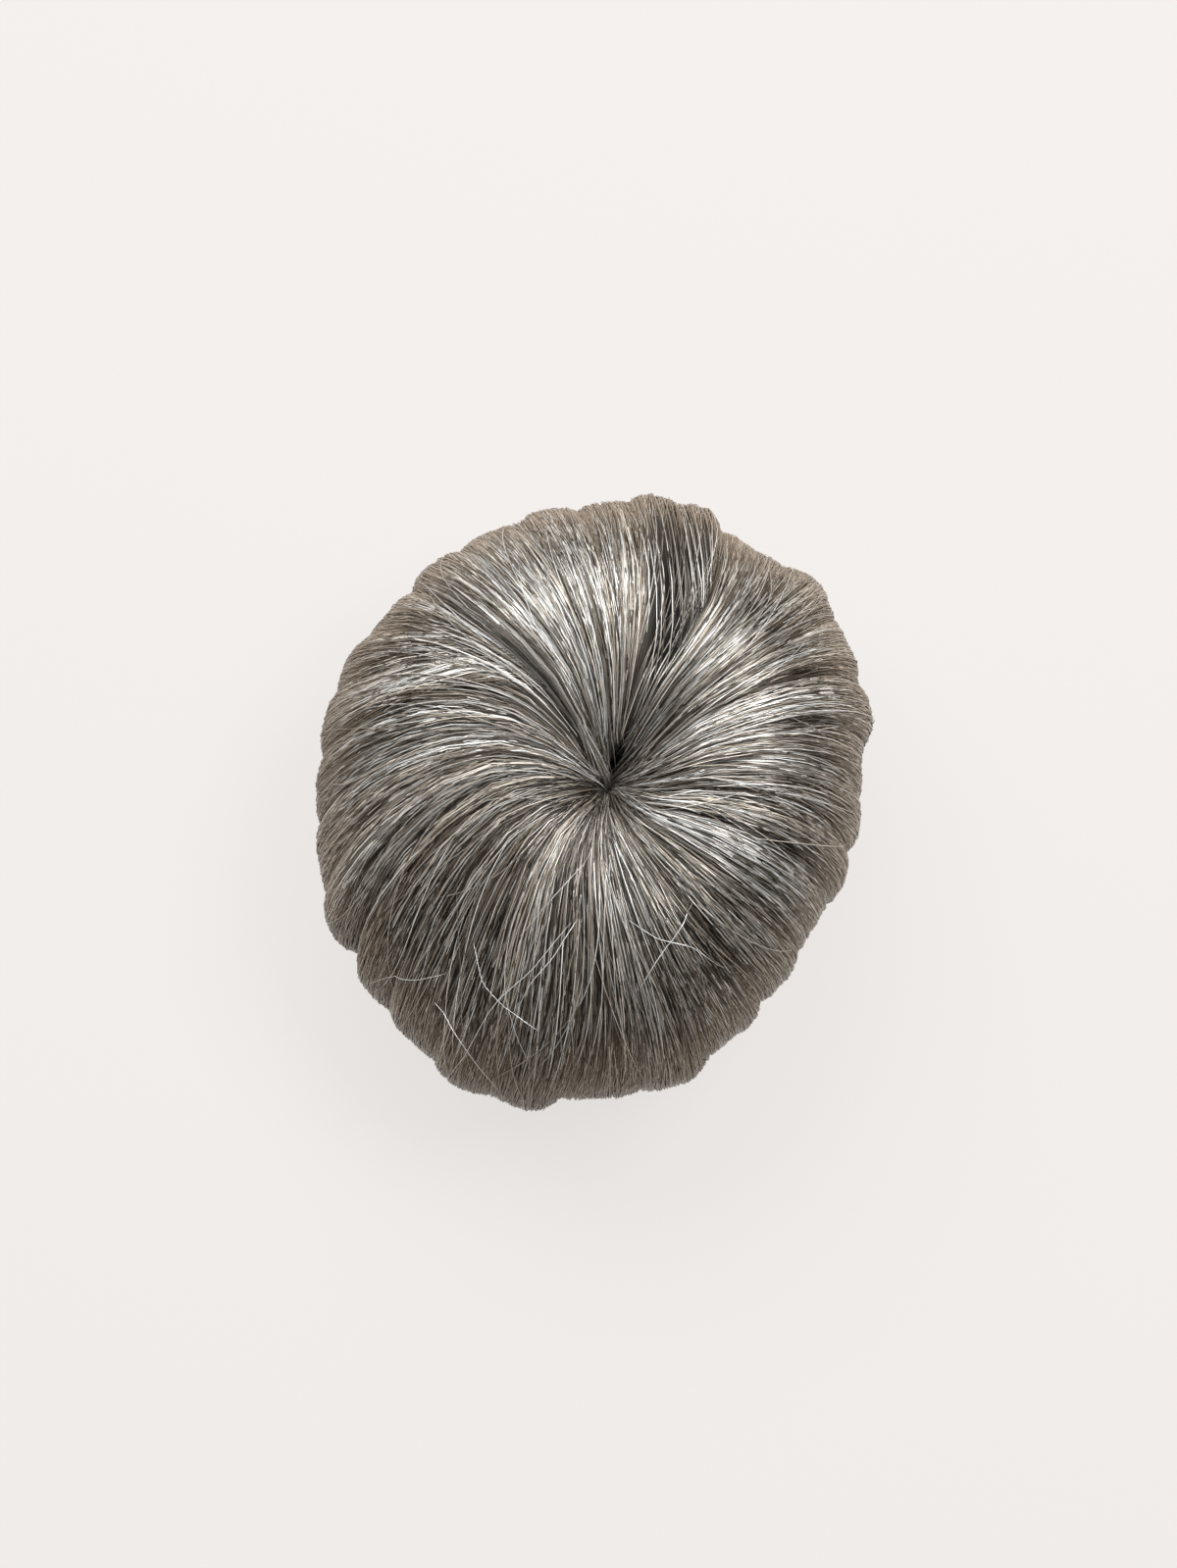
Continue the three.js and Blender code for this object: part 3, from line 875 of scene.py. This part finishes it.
# Where one lock lies over the next, the lower one's hairs fan out from under its edge: up to which lane,
# which share of its other hairs stays there or how far out they come up, how many fan out, where they rise
# near the edge and how that changes with a lane, how much of the gap they bridge, and hairs of the edge.
FANS = {
    2: dict(until=0.6, thinned=0.0, beyond=0.78, hairs=46, near=0.9, slope=-1.1, bridging=0.9, edge=190),
    4: dict(until=0.95, thinned=0.22, beyond=0.8, hairs=820, near=0.78, slope=-0.45, bridging=0.3, edge=150),
}
OUTER_SHARE, OUTERMOST = 0.3, 0.92  # share of those others that come up beyond the fan, and how far out
FAN_SPREAD, RISE_SPREAD, RISE_LIMITS = (0.02, 0.1), 0.07, (0.12, 0.92)
FAN_STARTS, EDGE_LANES, EDGE_LIFT = (-0.05, 0.03), (-0.12, 0.01), 0.5


def fan_hairs(i, fan, rng):
    """The hairs that fan out from under the edge of the lock above, and those of that edge."""
    spread = rng.uniform(FAN_SPREAD[0], fan["until"] + FAN_SPREAD[1], fan["hairs"])
    rises = fan["near"] + fan["slope"] * spread + rng.uniform(-RISE_SPREAD, RISE_SPREAD, fan["hairs"])
    starts = i + rng.uniform(*FAN_STARTS, fan["hairs"])
    under = comb(rng, i + spread, np.clip(rises, *RISE_LIMITS), starts, bridging=fan["bridging"])
    at_eye = np.full(fan["edge"], EYE_SHARE)
    edge = comb(rng, i + rng.uniform(*EDGE_LANES, fan["edge"]), at_eye, lift=EDGE_LIFT)
    return [under, edge]


def lock_hairs(i, rng):
    arc = math.radians(azimuth_of(i + 1.0, 1.0) - azimuth_of(float(i), 1.0)) * float(reach_of(i + 0.5))
    hairs = int(arc * HAIRS_PER_MM)
    lanes = i + rng.uniform(-PAST_BORDERS, 1 + PAST_BORDERS, hairs)
    at_eye = rng.uniform(0, 1, hairs) < FROM_THE_EYE
    start = np.where(at_eye, EYE_SHARE, rng.uniform(*START_SHARES, hairs))
    fan = FANS.get(i)
    if fan is None:
        return [comb(rng, lanes, start)]
    over_fan = lanes - i < fan["until"]
    outer = over_fan & (rng.uniform(0, 1, hairs) < OUTER_SHARE)
    start = np.where(outer, rng.uniform(fan["beyond"], OUTERMOST, hairs), start)
    kept = rng.uniform(0, 1, hairs) < np.where(over_fan & ~outer, fan["thinned"], 1.0)
    fanned = fan_hairs(i, fan, rng)
    return [comb(rng, lanes[kept], start[kept])] + fanned


strands = []
for i in range(COUNT):
    points, columns = joined(lock_hairs(i, np.random.default_rng(SEED + i)))
    strands.append(sweep("hair_of_" + LOCKS[i]["name"], points, columns))
print("hair:", [triangles(piece) for piece in strands], "triangles, in all", sum(map(triangles, strands)))

# %% [markdown]
# ## Loose hairs
#
# A few hairs never lie with the rest. They cross the locks in flat arcs, a hair's breadth over them, and
# catch the light. Seven long ones show well in front and are placed one by one, the others come by chance.

# %% Strays placed one by one
PX = 0.18  # millimetres for one pixel of the frame
BUN_PX = (606, 813.5)  # middle of the bun in the frame
STRAYS_PX = [
    [(494, 975), (504, 1012), (526, 1036), (552, 1054)],
    [(586, 952), (548, 1000), (515, 1028), (483, 1076), (458, 1099)],
    [(455, 1030), (480, 1064), (513, 1120)],
    [(384, 1006), (416, 1008), (440, 1008), (467, 1003)],
    [(592, 948), (570, 985), (548, 1010), (534, 1036)],
    [(700, 930), (690, 952), (668, 985), (652, 1012)],
    [(640, 948), (668, 966), (698, 972), (724, 990)],
]
LANE_TABLE = np.linspace(0, COUNT, 720)
ON_TOP = (0.02, 0.99)  # least and greatest share of the way out
PLACED_LIFT, PLACED_ARC = 0.25, 0.5  # how high in mm over the hair at the ends, and more between
PLACED_RADIUS, PLACED_DYE = 0.085, 0.9


def lane_at(share, azimuth):
    """The lane that has this azimuth in degrees at a share of the way out."""
    turns = np.floor((azimuth_of(0.0, share) - azimuth) / 360 + 1)
    return np.interp(0, (azimuth_of(LANE_TABLE, share) - azimuth) - 360 * turns, LANE_TABLE)


def over_bun(x, y, lift):
    """Points in metres over places of the bun seen from above, x and y in mm from its middle."""
    x, y = x - AXIS[0] / MM, y - AXIS[1] / MM
    radius, azimuth = np.hypot(x, y), np.degrees(np.arctan2(y, x))
    first_share = np.clip(radius / MEAN_REACH, *ON_TOP)
    lane = np.array([lane_at(share, angle) for share, angle in zip(first_share, azimuth)])
    along = along_for(np.clip(radius / reach_of(lane), *ON_TOP))
    return on_bun(lane, along, -lift), along


def placed_strays():
    at = np.linspace(0, 1, PLACES)
    bow = np.sin(np.pi * at)
    points, ways = [], []
    for line in STRAYS_PX:
        line = np.array(line, float)
        knots = np.linspace(0, 1, len(line))
        x = np.interp(at, knots, (line[:, 0] - BUN_PX[0]) * PX)
        y = np.interp(at, knots, (BUN_PX[1] - line[:, 1]) * PX)
        point, way = over_bun(x, y, PLACED_LIFT + PLACED_ARC * bow)
        points.append(point)
        ways.append(way)
    hairs = len(points)
    columns = dyed(np.full(hairs, PLACED_DYE), np.zeros(hairs), np.array(ways))
    thick = PLACED_RADIUS * MM * (0.35 + 0.65 * bow ** 0.4)
    return np.array(points), dict(thickness=thick[None, :], **columns)


print(len(STRAYS_PX), "strays placed by hand")

# %% Strays drawn by chance
DRAWN = 260
FIRST_WAYS, LENGTHS, LAST_WAY = (0.12, 0.42), (0.12, 0.4), 0.62  # where they start, how long they are
CROSSED, BOWED = 0.16, 0.05  # lanes that they cross and bow over
DRAWN_LIFTS, LIFT_GOES = (-0.1, 0.8), (0.42, 0.58)
DRAWN_RADII, DRAWN_DYES = (0.07, 0.1), (0.5, 0.98)


def drawn_strays(rng):
    """Hairs that cross the locks at a slant, from a lane and a way out to others."""
    lane = rng.uniform(0, COUNT, (DRAWN, 1))
    t = np.linspace(0, 1, PLACES)[None, :]
    bow = np.sin(np.pi * t)
    first = rng.uniform(*FIRST_WAYS, (DRAWN, 1))
    last = np.minimum(first + rng.uniform(*LENGTHS, (DRAWN, 1)), LAST_WAY)
    along = first + (last - first) * t
    across = rng.normal(0, CROSSED, (DRAWN, 1)) * t + rng.normal(0, BOWED, (DRAWN, 1)) * bow
    lift = rng.uniform(*DRAWN_LIFTS, (DRAWN, 1)) * bow ** 0.7 * (1 - smoothstep(along, *LIFT_GOES))
    points = on_bun(lane + across, along, -lift)
    dye = rng.uniform(*DRAWN_DYES, DRAWN)
    thick = rng.uniform(*DRAWN_RADII, (DRAWN, 1)) * MM * (0.3 + 0.7 * bow ** 0.5)
    warmth = rng.uniform(0, len(WARMTHS) - 1, DRAWN)
    return points, dict(thickness=thick, **dyed(dye, warmth, along))


stray_rng = np.random.default_rng(SEED + 50)
strays = sweep("stray_hairs", *joined([placed_strays(), drawn_strays(stray_rng)]))
print("strays:", len(strays.data.polygons), "faces")

# %% [markdown]
# ## The cap and its comb
#
# From below a hairpiece is a small net cap. It is knitted of fine elastic thread, and its edge is turned in
# and sewn down in a zigzag, so that it stretches. The shell is turned as on a lathe, the threads and the seam
# are lines swept by the same tree as the hair, and the comb keeps the solid of the frame.

# %% Cap finish and comb finish
LOOPS_AROUND, LOOPS_UP = 1500, 700
KNIT_STOPS = [(0.2, (0.018, 0.016, 0.014)), (0.8, (0.075, 0.067, 0.06))]
THREAD_STOPS = [(0.35, (0.05, 0.045, 0.04)), (0.65, (0.14, 0.125, 0.11))]
PLASTIC_STOPS = [(0.3, (0.022, 0.02, 0.018)), (0.7, (0.045, 0.04, 0.036))]
THREAD_TWIST, PLASTIC_GRAIN = 2600.0, 900.0  # how fine their noises are


def knit_finish():
    material, tree, shader = finish_of("cap_knit", {"Sheen Weight": 0.25, "Sheen Roughness": 0.5})
    place = node(tree, "ShaderNodeSeparateXYZ", None, {"Vector": uv_map(tree, "knit")})
    columns = (out(tree, place, 0) * LOOPS_AROUND).sine()
    loops = (columns * (out(tree, place, 1) * LOOPS_UP).sine()) * 0.5 + 0.5
    bump = bumped(loops, strength=0.6, distance=0.2)
    wire(shader, Base_Color=ramp(loops, KNIT_STOPS), Normal=bump, Roughness=0.9 - 0.2 * loops)
    return material


def thread_finish():
    material, tree, shader = finish_of("cap_thread", {"Sheen Weight": 0.2, "Sheen Roughness": 0.4})
    twist = noise(object_place(tree), Scale=THREAD_TWIST)
    wire(shader, Base_Color=ramp(twist, THREAD_STOPS), Roughness=0.6 + 0.3 * twist)
    return material


def comb_finish():
    material, tree, shader = finish_of("comb_plastic", {"IOR": 1.49, "Coat Weight": 0.15})
    grain = noise(object_place(tree), Scale=PLASTIC_GRAIN, Detail=3.0)
    bump = bumped(grain, strength=0.15, distance=0.05)
    wire(shader, Base_Color=ramp(grain, PLASTIC_STOPS), Normal=bump, Roughness=0.3 + 0.25 * grain)
    return material


KNIT, THREAD, PLASTIC = knit_finish(), thread_finish(), comb_finish()
comb_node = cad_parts["comb"]
comb_node.data.materials.clear()
comb_node.data.materials.append(PLASTIC)
print("materials", KNIT.name, THREAD.name, PLASTIC.name)

# %% Cap shell
CAP_WALL = 1.2
HEM_WALL = 2.4
HEM_HEIGHT = 8.0
HEM_SOFT = 0.5  # its edges are blunted by this much
HEM_STEP = 0.2  # and its upper edge leans out by this much
HEM_RADIUS = CAP_RADIUS - HEM_WALL
CAP_SIDES = 120
DOME_STEPS = 20
KNIT_SPAN = 4 * CAP_HEIGHT  # length of profile that makes one turn of the knit's map


def cap_dome(inset, steps=DOME_STEPS):
    """Radius and height down the dome, from the top, for a surface some way inside the outer one."""
    angle = np.linspace(0, math.pi / 2, steps)
    return np.stack([(CAP_RADIUS - inset) * np.sin(angle),
                     CAP_FOOT + (CAP_HEIGHT - CAP_FOOT - inset) * np.cos(angle)], -1)


def cap_profile():
    """Radius and height down the outside of the cap, round its hem and up the inside."""
    foot = [(CAP_RADIUS, HEM_SOFT), (CAP_RADIUS - HEM_SOFT, 0), (HEM_RADIUS + HEM_SOFT, 0),
            (HEM_RADIUS, HEM_SOFT), (HEM_RADIUS, HEM_HEIGHT - HEM_SOFT), (HEM_RADIUS + HEM_STEP, HEM_HEIGHT),
            (CAP_RADIUS - CAP_WALL, HEM_HEIGHT + HEM_WALL - CAP_WALL)]
    return np.concatenate([cap_dome(0)[1:], foot, cap_dome(CAP_WALL)[:0:-1]])


def knit_map(piece, profile):
    """The knit's map: turns round the cap from its first side, and the way down the profile."""
    tips = len(profile) * CAP_SIDES
    way = np.concatenate([[0], np.cumsum(np.hypot(*np.diff(profile, axis=0).T))]) / KNIT_SPAN
    uv = []
    for face in piece.data.polygons:
        sides = [v % CAP_SIDES for v in face.vertices if v < tips]
        wraps = max(sides) - min(sides) > 2
        for v in face.vertices:
            row = way[v // CAP_SIDES] if v < tips else way[0 if v == tips else -1]
            side = v % CAP_SIDES if v < tips else sum(sides) / len(sides)
            past = CAP_SIDES if wraps and side < 2 else 0
            uv.append(((side + past) / CAP_SIDES, row))
    piece.data.uv_layers.new(name="knit").data.foreach_set("uv", np.array(uv).ravel())


def cap_piece():
    profile = cap_profile()
    turn = np.linspace(0, 2 * math.pi, CAP_SIDES, endpoint=False)
    grid = round_axis(profile[:, :1], turn, profile[:, 1:])
    tips = round_axis(0.0, 0.0, np.array([CAP_HEIGHT, CAP_HEIGHT - CAP_WALL]))
    points = np.concatenate([grid.reshape(-1, 3), tips])
    faces = wrapped(len(profile), CAP_SIDES)
    top = len(profile) * CAP_SIDES
    last = top - CAP_SIDES
    for k in range(CAP_SIDES):
        n = (k + 1) % CAP_SIDES
        faces.append((top, k, n))
        faces.append((top + 1, last + n, last + k))
    piece = mesh_piece("cap_shell", points, faces, KNIT)
    knit_map(piece, profile)
    return piece


cap_shell = cap_piece()
print("cap shell:", len(cap_shell.data.polygons), "faces")

# %% Net threads and hem seam
NET_THREADS = 40
NET_TURN = 75  # degrees that a thread goes round on its way up the dome
NET_PLACES = 22
NET_RADIUS, NET_SIDES = 0.22, 4
NET_OVER = 0.12  # by which the threads that slant one way lie over the others
THREAD_GAP = 0.05  # between the wall and the middle of a thread
SEAM_STITCHES, SEAM_RADIUS, SEAM_SIDES = 110, 0.2, 5
SEAM_HEIGHTS = (0.86, 0.62)  # shares of the hem's height at the corners


def net_lines():
    """Threads inside the cap, slanting both ways from the hem to the top."""
    inner = cap_dome(CAP_WALL + THREAD_GAP, NET_PLACES)[::-1]
    start = np.arange(NET_THREADS)[:, None] * 2 * math.pi / NET_THREADS
    lines = []
    for way_round in (-1, 1):
        angle = start + way_round * math.radians(NET_TURN) * np.linspace(0, 1, NET_PLACES)
        lines.append(round_axis(inner[:, 0] - NET_OVER * (way_round > 0), angle, inner[:, 1]))
    return np.concatenate(lines)[:, : NET_PLACES - 1]


def seam_line():
    """A zigzag round the inside of the hem."""
    corner = np.arange(2 * SEAM_STITCHES + 1)
    height = HEM_HEIGHT * np.where(corner % 2, *SEAM_HEIGHTS)
    return round_axis(HEM_RADIUS - THREAD_GAP, corner * math.pi / SEAM_STITCHES, height)[None]


def thread_columns(radius):
    return dict(thickness=radius * MM, column=0.0, dye=0.5, warmth=0.0, edge=0.0, way=0.5)


net = sweep("cap_net", net_lines(), thread_columns(NET_RADIUS), sides=NET_SIDES, material=THREAD)
seam = sweep("hem_seam", seam_line(), thread_columns(SEAM_RADIUS), sides=SEAM_SIDES, material=THREAD)
for piece in (net, seam):
    piece.data.attributes.remove(piece.data.attributes["OFBake"])
print("net:", len(net.data.polygons), "faces, seam:", len(seam.data.polygons), "faces")

# %% [markdown]
# ## Who rides on what
#
# Nothing in a hairpiece turns on a joint, so all of it rides on the one body. A core stands for its lock and
# the shell for the cap, and the comb stays the frame's own.

# %% Dressing the frame
for piece in cores + strands + [strays]:
    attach(piece, "root")
for piece in (cap_shell, net, seam):
    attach(piece, "root")
for lock, core in zip(LOCKS, cores):
    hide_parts(lock["name"])
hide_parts("stretch_cap")
print(len(cores + strands) + 4, "pieces ride on the root")

# %% [markdown]
# ## Floor, light and camera
#
# The hairpiece is seen almost straight from above on a pale ground with hardly a shadow. Hair shines where it
# lies square to the half way between the light and the eye. The bright band sits far out on the back of the
# bun and close to the eye in front, which tells that the light stands behind the bun at half height.

# %% Floor
FLOOR_REACH = 4  # metres from the middle to its sides
FLOOR_LOOK = {"Base Color": (0.06, 0.058, 0.056, 1), "Roughness": 0.9, "Specular IOR Level": 0.0,
              "Emission Color": (0.905, 0.871, 0.847, 1), "Emission Strength": 0.825}
floor_corners = [(x * FLOOR_REACH, y * FLOOR_REACH, 0) for x, y in ((-1, -1), (1, -1), (1, 1), (-1, 1))]
floor_material, _, _ = finish_of("pale_floor", FLOOR_LOOK)
floor = mesh_piece("floor", floor_corners, [(0, 1, 2, 3)], floor_material)
print("floor", 2 * FLOOR_REACH, "m wide")

# %% Light
WORLD_COLOUR, WORLD_STRENGTH = (1.0, 0.985, 0.96, 1), 0.22
# Azimuth and elevation in degrees, distance, width and height in metres, power in watts.
WHITE, CREAM = (0.99, 0.99, 0.99), (1.0, 0.97, 0.93)
LAMPS = [
    dict(name="back_light", turn=110, rise=49, distance=1.2, size=(1.15, 0.65), power=27.0, colour=WHITE),
    dict(name="right_light", turn=32, rise=60, distance=1.2, size=(0.6, 0.42), power=18.0, colour=WHITE),
    dict(name="front_fill", turn=-80, rise=60, distance=1.5, size=(1.6, 1.6), power=0.8, colour=CREAM),
]


def lamp(name, turn, rise, distance, size, power, colour):
    """A flat area light that looks at the bun from a direction."""
    data = bpy.data.lights.new(name, "AREA")
    data.shape, data.energy, data.color = "RECTANGLE", power, colour
    data.size, data.size_y = size
    made = placed(name, data)
    a, e = math.radians(turn), math.radians(rise)
    flat = distance * math.cos(e)
    made.location = (flat * math.cos(a), flat * math.sin(a), distance * math.sin(e))
    made.rotation_euler = (math.pi / 2 - e, 0, a + math.pi / 2)


for row in LAMPS:
    lamp(**row)
world = bpy.data.worlds.new("studio")
world.use_nodes = True
background = world.node_tree.nodes["Background"]
background.inputs["Color"].default_value = WORLD_COLOUR
background.inputs["Strength"].default_value = WORLD_STRENGTH
bpy.context.scene.world = world
bpy.context.scene.view_settings.view_transform = "Standard"
print(len(LAMPS), "lamps")

# %% Camera
FRAME_PX = (1200, 1599)
SENSOR = 36  # height in mm
ELEVATION = 84
DISTANCE = 0.6
AIM_HEIGHT = 30  # mm over the floor
camera_data = bpy.data.cameras.new("camera")
camera_data.sensor_fit = "VERTICAL"
camera_data.sensor_height = SENSOR
camera_data.lens = SENSOR * DISTANCE / (FRAME_PX[1] * PX * MM)
camera = placed("camera", camera_data)
tilt = math.radians(ELEVATION)
off_middle = np.array([FRAME_PX[0] / 2 - BUN_PX[0], BUN_PX[1] - FRAME_PX[1] / 2, 0]) * PX
aim = (off_middle + (0, 0, AIM_HEIGHT)) * MM
camera.location = aim + DISTANCE * np.array([0, -math.cos(tilt), math.sin(tilt)])
camera.rotation_euler = (math.pi / 2 - tilt, 0, 0)
bpy.context.scene.camera = camera
print("lens", round(camera_data.lens, 1), "mm")
